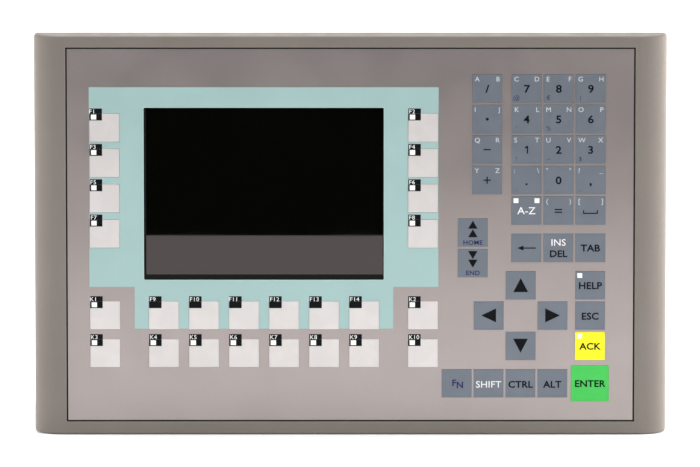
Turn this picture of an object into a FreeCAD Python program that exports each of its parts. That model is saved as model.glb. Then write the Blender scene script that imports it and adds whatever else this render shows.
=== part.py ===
"""Panel-mount operator panel: a display and sixty membrane keys in a cast front, with its electronics behind.

Frame: X to the right as the operator sees it, Z up, Y into the control cabinet. The origin is the centre of
the mounting cut-out, in the plane where the front's rear face meets the cabinet door. Millimetres.
"""
import FreeCAD, Part
import math
import os
from FreeCAD import Vector

# ---- driving dimensions -------------------------------------------------------------------------------

# Cast front
frame_width = 308.0
frame_height = 204.0
frame_depth = 6.5          # front face to sealing plane
frame_corner = 2.0         # corner radius seen from the front
side_curve_width = 13.0    # the sides fall away over this width
side_curve_drop = 5.0      # and by this much
front_edge_round = 0.9
web_thickness = 1.7        # wall behind the foil that the key pockets go through
lip_round = 0.4

# Foil, its border groove, and the display
side_band = 15.3           # frame face left and right of the foil pocket
top_band = 5.8             # above it
bottom_band = 6.4          # below it
foil_gap = 0.8             # groove round the foil
foil_thickness = 0.6
foil_recess = 0.4          # foil face behind frame face
display_x = -42.2
display_z = 21.4
display_corner = 0.8
active_width = 115.2       # picture area of the LCD
active_height = 86.4
opening_margin = 0.9       # opening in the foil round the picture area
window_overlap = 2.0       # window pane behind the foil, each side
fit_gap = 0.3              # general clearance of one piece in another

# Keys
key_size = 14.4
enter_size = 18.4
key_gap = 1.2              # between the keys of a block
wide_gap = 4.8             # between two blocks
enter_gap = 1.9            # between ENTER and the key beside it
key_proud = 0.2            # key face in front of the foil
soft_key_proud = 0.1       # the same for a function key with its label window
key_round = 0.15
key_hole_gap = 0.1         # foil opening round a key, each side
key_skirt = 0.4            # skirt behind the foil that holds a key in, each side
skirt_thickness = 0.25
skirt_clearance = 0.05     # skirt to foil at rest
nub_radius = 2.0
nub_height = 0.2
dome_radius = 5.0
dome_height = 0.5
dome_top_radius = 2.4
right_column_x = 117.0     # numbers 9, 6, 3, and HELP, ESC, ACK, ENTER
key_field_z = -0.3         # half way between the top and bottom rows of the system keys
soft_side_gap = 11.9       # from the display opening to the function keys beside it
soft_side_drop = 10.2      # their top row's middle below the top of the opening
soft_gap = 3.7             # between the function keys beside the display
soft_row_gap = 5.15        # between those under it
soft_row_below = 11.0      # from the opening to the row under it
soft_rows_gap = 5.1        # between the two rows under it

# Circuit board of the keys, support plate, label strips
pocket_inset = 17.0        # frame's edge to the pocket in its rear, at the sides
pocket_end_inset = 14.0    # and at the top and bottom
key_board_gap = 1.5        # key board in that pocket
pin_hole_gap = 0.1         # boards' holes round the front's pins
board_thickness = 1.6
plate_thickness = 1.0
strip_thickness = 0.15
strip_width = 12.0
strip_clearance = 0.15
strip_margin = 9.0

# Pins cast on the front: they pass through key board and plate, and are peened over behind it
pin_radius = 1.5
pin_head_radius = 2.4
pin_head_height = 0.8
pin_inset = 2.9            # the housing's inside to the pins' middle
pin_side_z = (-40.0, 0.0, 40.0)
pin_row_x = (-90.0, -30.0, 20.0)

# Seals
seal_inset = 6.5           # middle of the seal from the frame's edge
seal_width = 4.0
seal_corner = 4.0
seal_groove_depth = 1.5
seal_proud = 1.0
gasket_wall = 1.8

# Display module
lcd_side_border = 14.4     # of the LCD module round the picture area
lcd_end_border = 9.1
lcd_depth = 11.0
lcd_wall = 2.0
lcd_lip = 0.6
lcd_back_wall = 1.0
glass_thickness = 1.4
glass_margin = 2.5         # glass beyond the picture area
guide_gap = 0.1            # glass to light guide
lamp_radius = 1.3
lamp_channel = 4.0         # square channel in the light guide's lower edge
lamp_channel_edge = 3.0    # guide's edge to the middle of that channel
lamp_channel_end = 4.0     # guide's side to the end of the channel
lamp_end_gap = 2.0         # lamp to the end of the channel
inverter_gap = 6.0         # from the LCD module
inverter_width = 20.0
inverter_height = 80.0
inverter_stand = 3.0       # feet under its board
foot_radius = 2.0
foot_inset = 6.0
transformer_height = 22.0
transformer_depth = 7.0
transformer_side = 3.0     # board's edge to transformer
transformer_low = 12.0     # board's lower end to it
inverter_can_radius = 4.0
inverter_can_depth = 9.0
inverter_cans = (46.0, 58.0)    # capacitors, up from the board's lower end

# Rear housing
housing_inset = 18.0       # frame's edge to the housing's wall, all round
housing_depth = 54.0       # sealing plane to rear face
housing_wall = 2.5
housing_corner = 4.0
housing_rear_round = 1.5
vent_width = 2.6
vent_pitch = 6.0
vent_length = 22.0
vent_reach = 80.0          # slots in the top wall, each side of the middle
low_vent_start = 48.0      # slots in the bottom wall, beside the sockets
low_vent_end = 120.0
vent_from_rear = 1.0       # wall slots end this far in front of the rear wall
rear_vent_length = 70.0    # slots in the rear face
rear_vent_x = (-62.0, 70.0)
rear_vent_top_z = 54.0
rear_vent_rows = 9
stud_radius = 2.0          # earth stud under the housing
stud_length = 10.0
stud_x = -124.0
stud_collar = 1.8          # collar's radius, times the stud's
stud_collar_length = 1.5   # below the housing's wall
label_x = -20.0            # recess for the rating label in the rear face
label_z = -46.0
label_width = 96.0
label_height = 52.0
label_recess = 0.4
label_corner = 1.5

# Pillars and screws
pillar_radius = 3.5
pillar_inset = 8.0         # housing's wall to the pillars' middle
pillar_mid_x = 36.0
screw_radius = 1.9
screw_bore = 2.0
thread_gap = 0.02
screw_length = 9.0
screw_head_radius = 3.6
screw_head_height = 2.2
screw_slot_width = 0.9
screw_slot_depth = 1.0
screw_slot_length = 4.5
screw_head_round = 0.8
post_radius = 3.0
post_tip_radius = 1.4
post_tip_proud = 1.5       # post's tip behind the main board
post_hole_gap = 0.1
post_inset = 5.0           # main board's edge to the posts' middle

# Main board
main_board_inset = 13.0    # housing's wall to the main board
socket_room = 22.0         # housing's lower wall to the rear of the sockets
main_board_y = 26.0
cooler_x = 30.0            # finned cooler on the processor
cooler_z = 20.0
cooler_size = 28.0
cooler_base = 2.0
cooler_depth = 9.0
fin_count = 7
fin_pitch = 4.0
fin_thickness = 1.4
can_radius = 4.5
can_depth = 12.0
CHIPS = [                  # x, z, width, height, depth; the first is the processor
    (cooler_x, cooler_z, 30.0, 30.0, 2.2),
    (-12.0, 24.0, 22.0, 12.0, 1.6),
    (-12.0, 6.0, 22.0, 12.0, 1.6),
    (62.0, 26.0, 16.0, 16.0, 1.6),
    (-60.0, 30.0, 20.0, 14.0, 2.0),
    (70.0, -8.0, 12.0, 22.0, 1.4),
    (-96.0, 20.0, 10.0, 28.0, 3.0),
]
CANS = [(-96.0, -20.0), (-84.0, -20.0), (-96.0, -34.0), (60.0, -34.0), (74.0, -34.0)]

# Sockets, all on the rear face of the main board
socket_gap = 0.4
socket_proud = 0.4         # mouths of the network and USB sockets below the housing
power_x = -107.0
power_width = 17.0
power_depth = 11.0
power_pitch = 5.08
power_header_up = 7.5      # header's mouth above the housing's lower face
power_header_wall = 1.2
power_plug_gap = 0.3       # plug in its header
power_plug_out = 9.5       # plug below the housing
wire_hole_radius = 1.6
wire_hole_depth = 7.5
wire_screw_radius = 1.7
wire_screw_depth = 3.5
wire_screw_out = 5.0       # its clamping screws below the housing
serial_x = -57.0
serial_width = 31.0
serial_depth = 12.5
serial_jack_pitch = 24.99
serial_shell_width = 16.9
serial_shell_depth = 8.3
serial_shell_length = 5.8
serial_shell_slant = 1.1
serial_shell_round = 1.2
serial_body_width = 20.0
serial_flange = 1.0
contact_radius = 0.55
contact_depth = 5.0
contact_pitch = 2.77
contact_row = 1.42         # rows of contacts either side of the middle
jack_radius = 2.7
jack_bore = 1.25
jack_height = 5.0
ethernet_x = -8.0
ethernet_width = 16.0
ethernet_depth = 13.6
ethernet_length = 21.0
ethernet_mouth_width = 11.8
ethernet_mouth_from = 3.2  # main board to the mouth
ethernet_mouth_depth = 6.8
ethernet_mouth_length = 11.6
ethernet_latch_width = 6.2
ethernet_latch_depth = 2.4
usb_x = 20.0
usb_width = 13.1
usb_depth = 5.7
usb_length = 14.0
usb_wall = 0.4
usb_end_wall = 2.0
tongue_side = 1.0          # can's side to the contact tongue
tongue_from = 1.4          # main board to the tongue
tongue_thickness = 1.3
tongue_back = 1.2          # its tip inside the mouth
card_z = 10.0
card_width = 28.0
card_length = 29.0
card_depth = 4.2
card_mouth = 24.6
card_mouth_depth = 2.4
card_end_wall = 3.0
card_inset = 0.3           # mouth inside the housing's side

# Mounting clips
panel_max = 6.0            # thickest cabinet door that the clip screws are backed off for
clip_width = 12.0
clip_reach = 8.0           # out from the housing
clip_depth = 12.0
clip_y = 13.0
clip_round = 1.5
hook_width = 10.0
hook_thickness = 4.0
hook_length = 4.0
hook_from = 4.0            # clip's front end to its hook
clip_screw_radius = 2.0
clip_screw_bore = 2.05
clip_screw_length = 22.0
clip_screw_out = 4.6       # screw axis from the housing wall
clip_pad_radius = 2.6
clip_pad_height = 1.5
top_clips = (-95.0, 0.0, 95.0)
bottom_clips = (-82.0, 52.0, 108.0)
side_clips = (-48.0, 48.0)

# ---- places worked out from them ----------------------------------------------------------------------

pitch = key_size + key_gap
block_gap = key_size + wide_gap
soft_side_pitch = key_size + soft_gap
soft_row_pitch = key_size + soft_row_gap
soft_row_drop = key_size + soft_rows_gap
display_width = active_width + 2 * opening_margin
display_height = active_height + 2 * opening_margin
soft_side_x = display_width / 2 + soft_side_gap + key_size / 2
soft_side_top_z = display_z + display_height / 2 - soft_side_drop
soft_row_z = display_z - display_height / 2 - soft_row_below - key_size / 2
cursor_x = right_column_x - (enter_size + key_size) / 2 - enter_gap - pitch
top_row_z = key_field_z + 3 * pitch + 1.5 * block_gap

lcd_width = active_width + 2 * lcd_side_border
lcd_height = active_height + 2 * lcd_end_border
rear_pocket_width = frame_width - 2 * pocket_inset
rear_pocket_height = frame_height - 2 * pocket_end_inset
key_board_width = rear_pocket_width - 2 * key_board_gap
key_board_height = rear_pocket_height - 2 * key_board_gap
housing_width = frame_width - 2 * housing_inset
housing_height = frame_height - 2 * housing_inset
main_board_width = housing_width - 2 * main_board_inset
main_board_height = housing_height - 2 * main_board_inset
pillar_x = housing_width / 2 - pillar_inset
pillar_z = housing_height / 2 - pillar_inset
post_x = main_board_width / 2 - post_inset
post_z = main_board_height / 2 - post_inset
pin_side_x = housing_width / 2 - housing_wall - pin_inset
pin_row_z = housing_height / 2 - housing_wall - pin_inset

front_y = -frame_depth
foil_width = frame_width - 2 * (side_band + foil_gap)
foil_height = frame_height - top_band - bottom_band - 2 * foil_gap
foil_z = (bottom_band - top_band) / 2
foil_y = front_y + foil_recess
foil_back_y = foil_y + foil_thickness
key_board_y = foil_back_y + web_thickness
skirt_y = foil_back_y + skirt_clearance
skirt_back_y = skirt_y + skirt_thickness
dome_top_y = key_board_y - dome_height
plate_y = key_board_y + board_thickness
plate_back_y = plate_y + plate_thickness
lcd_y = plate_back_y
lcd_back_y = lcd_y + lcd_depth
glass_y = lcd_y + lcd_lip
opening_width = display_width + 2 * window_overlap
opening_height = display_height + 2 * window_overlap
seal_run_width = frame_width - 2 * seal_inset
seal_run_height = frame_height - 2 * seal_inset
gasket_width = opening_width - 2 * fit_gap
gasket_height = opening_height - 2 * fit_gap
inner_rear_y = housing_depth - housing_wall
board_back_y = main_board_y + board_thickness
bottom_outer_z = -housing_height / 2
right_outer_x = housing_width / 2
socket_rear_z = bottom_outer_z + socket_room
socket_mouth_z = bottom_outer_z - socket_proud
guide_width = lcd_width - 2 * lcd_wall - 2 * fit_gap
guide_height = lcd_height - 2 * lcd_wall - 2 * fit_gap
guide_y = glass_y + glass_thickness + guide_gap
screw_tip_y = seal_proud + panel_max
hook_y = clip_y + hook_from

ink_rows = [top_row_z - pitch * n for n in range(5)]
edit_row_z = ink_rows[4] - block_gap
help_row_z = edit_row_z - block_gap
esc_row_z = help_row_z - pitch
ack_row_z = esc_row_z - pitch
enter_row_z = ack_row_z - block_gap
number_x = [right_column_x - 2 * pitch, right_column_x - pitch, right_column_x]
sign_x = number_x[0] - block_gap
page_x = cursor_x - 1.5 * pitch

SYSTEM_KEYS = {
    "key_divide": (sign_x, ink_rows[0]),
    "key_multiply": (sign_x, ink_rows[1]),
    "key_minus": (sign_x, ink_rows[2]),
    "key_plus": (sign_x, ink_rows[3]),
    "key_7": (number_x[0], ink_rows[0]),
    "key_8": (number_x[1], ink_rows[0]),
    "key_9": (number_x[2], ink_rows[0]),
    "key_4": (number_x[0], ink_rows[1]),
    "key_5": (number_x[1], ink_rows[1]),
    "key_6": (number_x[2], ink_rows[1]),
    "key_1": (number_x[0], ink_rows[2]),
    "key_2": (number_x[1], ink_rows[2]),
    "key_3": (number_x[2], ink_rows[2]),
    "key_point": (number_x[0], ink_rows[3]),
    "key_0": (number_x[1], ink_rows[3]),
    "key_comma": (number_x[2], ink_rows[3]),
    "key_letters": (number_x[0], ink_rows[4]),
    "key_equals": (number_x[1], ink_rows[4]),
    "key_space": (number_x[2], ink_rows[4]),
    "key_backspace": (number_x[0], edit_row_z),
    "key_insert": (number_x[1], edit_row_z),
    "key_tab": (number_x[2], edit_row_z),
    "key_home": (page_x, edit_row_z + pitch / 2),
    "key_end": (page_x, edit_row_z - pitch / 2),
    "key_up": (cursor_x, help_row_z),
    "key_left": (cursor_x - pitch, esc_row_z),
    "key_right": (cursor_x + pitch, esc_row_z),
    "key_down": (cursor_x, ack_row_z),
    "key_help": (number_x[2], help_row_z),
    "key_escape": (number_x[2], esc_row_z),
    "key_acknowledge": (number_x[2], ack_row_z),
    "key_enter": (number_x[2], enter_row_z),
    "key_function": (cursor_x - 2 * pitch, enter_row_z),
    "key_shift": (cursor_x - pitch, enter_row_z),
    "key_control": (cursor_x, enter_row_z),
    "key_alternate": (cursor_x + pitch, enter_row_z),
}
side_rows = [soft_side_top_z - soft_side_pitch * n for n in range(4)]
row_columns = [display_x + soft_row_pitch * (n - 2.5) for n in range(6)]
left_x, right_x = display_x - soft_side_x, display_x + soft_side_x
lower_row_z = soft_row_z - soft_row_drop
F_KEYS = [(x, z) for z in side_rows for x in (left_x, right_x)] + [(x, soft_row_z) for x in row_columns]
K_KEYS = [(x, soft_row_z) for x in (left_x, right_x)]
K_KEYS += [(x, lower_row_z) for x in [left_x, *row_columns, right_x]]


def size_of(name):
    return enter_size if name == "key_enter" else key_size


ALL_KEYS = [(x, z, size_of(name)) for name, (x, z) in SYSTEM_KEYS.items()]
ALL_KEYS += [(x, z, key_size) for x, z in F_KEYS + K_KEYS]


# ---- shape helpers ------------------------------------------------------------------------------------

def block(x0, x1, y0, y1, z0, z1):
    return Part.makeBox(x1 - x0, y1 - y0, z1 - z0, Vector(x0, y0, z0))


def plate(x, z, width, height, y0, y1, radius=0.0):
    """A flat rectangle centred on (x, z), from y0 to y1, with its corners rounded."""
    solid = block(x - width / 2, x + width / 2, y0, y1, z - height / 2, z + height / 2)
    if radius > 0:
        corners = [e for e in solid.Edges if abs(e.BoundBox.YLength - (y1 - y0)) < 1e-6]
        solid = solid.makeFillet(radius, corners)
    return solid


def rod(x, z, radius, y0, y1):
    return Part.makeCylinder(radius, y1 - y0, Vector(x, y0, z), Vector(0, 1, 0))


def across(middle, width, inset=0.0):
    """Both ends of a width about its middle, drawn in by inset."""
    return middle - width / 2 + inset, middle + width / 2 - inset


def down(x, y, z, radius, length):
    """A rod that runs downwards from (x, y, z)."""
    return Part.makeCylinder(radius, length, Vector(x, y, z), Vector(0, 0, -1))


def fused(shapes):
    first, *rest = shapes
    return (first.fuse(rest) if rest else first).removeSplitter()


def edges_at(solid, axis, value):
    """Edges lying wholly in the plane axis = value."""
    low, high = axis.upper() + "Min", axis.upper() + "Max"
    return [e for e in solid.Edges
            if abs(getattr(e.BoundBox, low) - value) < 1e-4 and abs(getattr(e.BoundBox, high) - value) < 1e-4]


def save(name, shape):
    solids = shape.Solids
    sound = solids and all(s.isValid() and s.Volume > 0 for s in solids)
    print(f"{name:20s} solids {len(solids):3d}  volume {shape.Volume / 1000:9.3f} cm3{'' if sound else ' BAD'}")
    Part.makeCompound(solids).exportStep(f"parts/{name}.step")


# ---- front ----------------------------------------------------------------------------------------------

def front_blank():
    """The front's outline in plan, with its falling sides, drawn up to full height."""
    edge_x = frame_width / 2
    flat_x = edge_x - side_curve_width
    land_y = -(frame_depth - side_curve_drop)

    def side(sign):
        ellipse = Part.Ellipse(Vector(sign * flat_x, land_y, 0), side_curve_width, side_curve_drop)
        start, end = (-math.pi / 2, 0) if sign > 0 else (-math.pi, -math.pi / 2)
        return Part.ArcOfEllipse(ellipse, start, end).toShape()

    left, right = side(-1), side(1)
    rim = [Vector(x, y, 0) for x, y in ((edge_x, land_y), (edge_x, 0), (-edge_x, 0), (-edge_x, land_y))]
    straight = [Part.makeLine(a, b) for a, b in zip(rim, rim[1:])]
    top = Part.makeLine(Vector(-flat_x, front_y, 0), Vector(flat_x, front_y, 0))
    outline = Part.Wire(Part.__sortEdges__([left, top, right, *straight]))
    slab = Part.Face(outline).extrude(Vector(0, 0, frame_height))
    slab.translate(Vector(0, 0, -frame_height / 2))
    long_edges = [e for e in slab.Edges if e.BoundBox.ZLength < 1e-4 and e.BoundBox.YMin < front_y + 1e-4]
    slab = slab.makeFillet(front_edge_round, long_edges)
    corners = plate(0, 0, frame_width, frame_height, front_y - 1, 1, frame_corner)
    return slab.common(corners)


def key_pockets():
    """Openings in the front's wall, one behind each key; those of a block run together."""
    room = 2 * (key_skirt + fit_gap)
    places = [*ALL_KEYS, (cursor_x, esc_row_z, key_size)]
    return [plate(x, z, size + room, size + room, front_y, 0) for x, z, size in places]


def pin_places():
    sides = [(x, z) for x in (-pin_side_x, pin_side_x) for z in pin_side_z]
    return sides + [(x, z) for x in pin_row_x for z in (-pin_row_z, pin_row_z)]


def pin_holes():
    return [rod(x, z, pin_radius + pin_hole_gap, front_y, 1) for x, z in pin_places()]


def strip_channels():
    """Channels in the wall's rear face, from pocket to pocket, that the label strips lie in."""
    y0 = dome_top_y - strip_thickness - strip_clearance
    room = 2 * fit_gap
    return [plate(x, z, width + room, height + room, y0, 0) for x, z, width, height in strip_places()]


def ring(width, height, wall, y0, y1, radius):
    outer = plate(0, 0, width + wall, height + wall, y0, y1, radius + wall / 2)
    inner = plate(0, 0, width - wall, height - wall, y0, y1, radius - wall / 2)
    return outer.cut(inner)


def front_frame():
    solid = front_blank()
    gap = 2 * foil_gap
    mouth = plate(0, foil_z, foil_width + gap, foil_height + gap, front_y - 1, foil_back_y)
    solid = solid.cut(mouth)
    solid = solid.makeFillet(lip_round, mouth_edges(solid))
    rear = plate(0, 0, rear_pocket_width, rear_pocket_height, key_board_y, 1, frame_corner)
    pane = plate(display_x, display_z, opening_width, opening_height, front_y, 0)
    groove = ring(seal_run_width, seal_run_height, seal_width, -seal_groove_depth, 1, seal_corner)
    solid = solid.cut([rear, pane, groove, *key_pockets(), *strip_channels()])
    pins = [rod(x, z, pin_radius, key_board_y - 0.5, plate_back_y) for x, z in pin_places()]
    head_y = plate_back_y + pin_head_height
    heads = [rod(x, z, pin_head_radius, plate_back_y, head_y) for x, z in pin_places()]
    return fused([solid, *pins, *heads])


def mouth_edges(solid):
    """The four edges of the foil pocket on the front face."""
    half_x, half_z = foil_width / 2 + foil_gap, foil_height / 2 + foil_gap
    return [e for e in edges_at(solid, "y", front_y)
            if max(abs(e.BoundBox.XMin), abs(e.BoundBox.XMax)) < half_x + 1e-3
            and max(abs(e.BoundBox.ZMin - foil_z), abs(e.BoundBox.ZMax - foil_z)) < half_z + 1e-3]


def keypad_overlay():
    foil = plate(0, foil_z, foil_width, foil_height, foil_y, foil_back_y)
    y0, y1 = foil_y - 1, foil_back_y + 1
    display = plate(display_x, display_z, display_width, display_height, y0, y1, display_corner)
    gap = 2 * key_hole_gap
    return foil.cut([display, *[plate(x, z, size + gap, size + gap, y0, y1) for x, z, size in ALL_KEYS]])


def key_cap(x, z, size, proud, rounding):
    """A key's face, and the skirt that holds it behind the foil."""
    face = plate(x, z, size, size, foil_y - proud, skirt_y)
    face = face.makeFillet(rounding, edges_at(face, "y", foil_y - proud))
    wide = size + 2 * key_skirt
    return face.fuse(plate(x, z, wide, wide, skirt_y, skirt_back_y))


def system_key(x, z, size):
    """A key with the nub that presses its dome."""
    nub = rod(x, z, nub_radius, skirt_back_y, skirt_back_y + nub_height)
    return key_cap(x, z, size, key_proud, key_round).fuse(nub).removeSplitter()


def soft_keys(places):
    """Function keys: they press their domes through the label strip, so they have no nub."""
    rounding = soft_key_proud / 2
    return Part.makeCompound([key_cap(x, z, key_size, soft_key_proud, rounding) for x, z in places])


def snap_domes():
    """A low cone with a flat top for each key's sprung metal dome."""
    towards_key = Vector(0, -1, 0)
    return Part.makeCompound([
        Part.makeCone(dome_radius, dome_top_radius, dome_height, Vector(x, key_board_y, z), towards_key)
        for x, z, _ in ALL_KEYS])


def strip_places():
    """(x, z, width, height) of the four label strips: two upright, two level."""
    tall = side_rows[0] - side_rows[-1] + 2 * strip_margin
    wide = right_x - left_x + 2 * strip_margin
    upright = [(x, sum(side_rows) / 4, strip_width, tall) for x in (left_x, right_x)]
    return upright + [(display_x, z, wide, strip_width) for z in (soft_row_z, lower_row_z)]


def label_strips():
    """Paper strips with the function keys' legends, lying on the domes behind the keys."""
    y0, y1 = dome_top_y - strip_thickness, dome_top_y
    return Part.makeCompound([plate(x, z, width, height, y0, y1) for x, z, width, height in strip_places()])


def display_window():
    return plate(display_x, display_z, opening_width - 2 * fit_gap, opening_height - 2 * fit_gap,
                 foil_back_y, key_board_y, display_corner)


def keypad_board():
    board = plate(0, 0, key_board_width, key_board_height, key_board_y, plate_y, frame_corner)
    return board.cut([plate(display_x, display_z, opening_width, opening_height, front_y, 1), *pin_holes()])


def seals():
    width = seal_width - fit_gap
    mounting = ring(seal_run_width, seal_run_height, width, -seal_groove_depth, seal_proud, seal_corner)
    outer = plate(display_x, display_z, gasket_width, gasket_height, key_board_y, plate_back_y)
    inner = plate(display_x, display_z, gasket_width - 2 * gasket_wall, gasket_height - 2 * gasket_wall,
                  front_y, 1)
    return Part.makeCompound([mounting, outer.cut(inner)])


# ---- display module ---------------------------------------------------------------------------------------

def lcd_frame():
    shell = plate(display_x, display_z, lcd_width, lcd_height, lcd_y, lcd_back_y)
    view = plate(display_x, display_z, active_width, active_height, lcd_y - 1, glass_y)
    inside = 2 * lcd_wall
    hollow = plate(display_x, display_z, lcd_width - inside, lcd_height - inside, glass_y, lcd_back_y + 1)
    return shell.cut([view, hollow])


def lcd_glass():
    width, height = active_width + 2 * glass_margin, active_height + 2 * glass_margin
    return plate(display_x, display_z, width, height, glass_y, glass_y + glass_thickness)


def backlight_unit():
    """Light guide with its lamp tube in a channel along the lower edge."""
    guide = plate(display_x, display_z, guide_width, guide_height, guide_y, lcd_back_y - lcd_back_wall)
    half = guide_width / 2 - lamp_channel_end
    middle_y = guide_y + lamp_channel
    middle_z = display_z - guide_height / 2 + lamp_channel_edge
    channel = block(display_x - half, display_x + half, *across(middle_y, lamp_channel),
                    *across(middle_z, lamp_channel))
    start = Vector(display_x - half + lamp_end_gap, middle_y, middle_z)
    lamp = Part.makeCylinder(lamp_radius, 2 * (half - lamp_end_gap), start, Vector(1, 0, 0))
    return Part.makeCompound([guide.cut(channel), lamp])


def inverter_board():
    """Lamp supply beside the display: its board, a transformer and two capacitors."""
    x0 = display_x + lcd_width / 2 + inverter_gap
    x1 = x0 + inverter_width
    middle_x = (x0 + x1) / 2
    z0 = display_z - inverter_height / 2
    y0 = plate_back_y + inverter_stand
    top_y = y0 + board_thickness
    board = block(x0, x1, y0, top_y, z0, z0 + inverter_height)
    foot_z = (z0 + foot_inset, z0 + inverter_height - foot_inset)
    feet = [rod(middle_x, z, foot_radius, plate_back_y, y0) for z in foot_z]
    transformer = block(x0 + transformer_side, x1 - transformer_side, top_y, top_y + transformer_depth,
                        z0 + transformer_low, z0 + transformer_low + transformer_height)
    can_y = top_y + inverter_can_depth
    cans = [rod(middle_x, z0 + up, inverter_can_radius, top_y, can_y) for up in inverter_cans]
    return fused([board, *feet, transformer, *cans])


# ---- support plate and main board ---------------------------------------------------------------------

def pillar_places():
    return [(x, z) for x in (-pillar_x, pillar_mid_x, pillar_x) for z in (-pillar_z, pillar_z)]


def post_places():
    return [(x, z) for x in (-post_x, post_x) for z in (-post_z, post_z)]


def support_plate():
    sheet = plate(0, 0, key_board_width, key_board_height, plate_y, plate_back_y, frame_corner)
    sheet = sheet.cut([plate(display_x, display_z, opening_width, opening_height, front_y, 1), *pin_holes()])
    pillars = [rod(x, z, pillar_radius, plate_y, inner_rear_y) for x, z in pillar_places()]
    posts = [rod(x, z, post_radius, plate_y, main_board_y) for x, z in post_places()]
    tips = [rod(x, z, post_tip_radius, main_board_y, board_back_y + post_tip_proud) for x, z in post_places()]
    body = fused([sheet, *pillars, *posts, *tips])
    bore_y = inner_rear_y - screw_length - 1
    return body.cut([rod(x, z, screw_radius, bore_y, inner_rear_y + 1) for x, z in pillar_places()])


def main_board():
    """Board with its processor under a finned cooler, memory, clock and filter parts."""
    board = plate(0, 0, main_board_width, main_board_height, main_board_y, board_back_y, frame_corner)
    hole_radius = post_tip_radius + post_hole_gap
    board = board.cut([rod(x, z, hole_radius, 0, housing_depth) for x, z in post_places()])
    y0 = board_back_y
    chips = [plate(x, z, width, height, y0, y0 + depth) for x, z, width, height, depth in CHIPS]
    cans = [rod(x, z, can_radius, y0, y0 + can_depth) for x, z in CANS]
    cooler_y = y0 + CHIPS[0][-1]
    fin_y = cooler_y + cooler_base
    cooler = plate(cooler_x, cooler_z, cooler_size, cooler_size, cooler_y, fin_y)
    fins = []
    for n in range(fin_count):
        x = cooler_x + (n - (fin_count - 1) / 2) * fin_pitch
        fins.append(plate(x, cooler_z, fin_thickness, cooler_size, fin_y, cooler_y + cooler_depth))
    return fused([board, *chips, *cans, cooler, *fins])


# ---- sockets --------------------------------------------------------------------------------------------

def power_terminal():
    """Two-pole header on the board and the screw plug seated in it."""
    y0, y1 = board_back_y, board_back_y + power_depth
    wall = power_header_wall
    inset = wall + power_plug_gap
    mouth_z = bottom_outer_z + power_header_up
    header = block(*across(power_x, power_width), y0, y1, mouth_z, socket_rear_z)
    room = block(*across(power_x, power_width, wall), y0 + wall, y1 - wall, mouth_z - 1, socket_rear_z - 2)
    plug_z = bottom_outer_z - power_plug_out
    plug = block(*across(power_x, power_width, inset), y0 + inset, y1 - inset, plug_z, socket_rear_z - 2.5)
    holes = []
    for x in across(power_x, power_pitch):
        holes.append(down(x, (y0 + y1) / 2, plug_z + wire_hole_depth, wire_hole_radius, wire_hole_depth + 1))
        holes.append(rod(x, bottom_outer_z - wire_screw_out, wire_screw_radius, y1 - wire_screw_depth, y1))
    return Part.makeCompound([header.cut(room), plug.cut(holes)])


def serial_shell(middle_y):
    """The D-shaped shell, filled by its insulator."""
    half, deep = serial_shell_width / 2, serial_shell_depth / 2
    narrow = half - serial_shell_slant
    corners = [(-half, deep), (half, deep), (narrow, -deep), (-narrow, -deep), (-half, deep)]
    outline = Part.makePolygon([Vector(serial_x + x, middle_y + y, bottom_outer_z) for x, y in corners])
    shell = Part.Face(outline).extrude(Vector(0, 0, -serial_shell_length))
    return shell.makeFillet(serial_shell_round, [e for e in shell.Edges if e.BoundBox.ZLength > 1])


def serial_port():
    """Nine-pole socket: flange with two jack bushes, D-shaped shell with its insulator, and body."""
    y0, y1 = board_back_y, board_back_y + serial_depth
    middle_y = (y0 + y1) / 2
    top_z = bottom_outer_z + serial_flange
    body = block(*across(serial_x, serial_body_width), y0, y1, top_z, socket_rear_z)
    flange = block(*across(serial_x, serial_width), y0, y1, bottom_outer_z, top_z)
    jacks, holes = [], []
    for x in across(serial_x, serial_jack_pitch):
        jacks.append(down(x, middle_y, bottom_outer_z, jack_radius, jack_height))
        holes.append(down(x, middle_y, top_z, jack_bore, jack_height + 1))
    mouth_z = bottom_outer_z - serial_shell_length + contact_depth
    for row, count in ((contact_row, 5), (-contact_row, 4)):
        for n in range(count):
            x = serial_x + contact_pitch * (n - (count - 1) / 2)
            holes.append(down(x, middle_y + row, mouth_z, contact_radius, contact_depth + 1))
    return fused([body, flange, serial_shell(middle_y), *jacks]).cut(holes)


def ethernet_port():
    """Shielded eight-pole jack, its mouth downwards."""
    mouth_y = board_back_y + ethernet_mouth_from
    latch_y = mouth_y + ethernet_mouth_depth
    end_y = latch_y + ethernet_latch_depth
    low, high = socket_mouth_z - 1, socket_mouth_z + ethernet_mouth_length + socket_proud
    rear_y, rear_z = board_back_y + ethernet_depth, socket_mouth_z + ethernet_length
    can = block(*across(ethernet_x, ethernet_width), board_back_y, rear_y, socket_mouth_z, rear_z)
    mouth = block(*across(ethernet_x, ethernet_mouth_width), mouth_y, latch_y, low, high)
    latch = block(*across(ethernet_x, ethernet_latch_width), latch_y, end_y, low, high)
    return can.cut([mouth, latch])


def usb_port():
    """Type A socket: folded steel can with the contact tongue inside."""
    y0, y1 = board_back_y, board_back_y + usb_depth
    rear_z = socket_mouth_z + usb_length
    tongue_y = y0 + tongue_from
    can = block(*across(usb_x, usb_width), y0, y1, socket_mouth_z, rear_z)
    room = block(*across(usb_x, usb_width, usb_wall), y0 + usb_wall, y1 - usb_wall, socket_mouth_z - 1,
                 rear_z - usb_end_wall)
    tongue = block(*across(usb_x, usb_width, tongue_side), tongue_y, tongue_y + tongue_thickness,
                   socket_mouth_z + tongue_back, rear_z - usb_end_wall / 2)
    return can.cut(room).fuse(tongue).removeSplitter()


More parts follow.
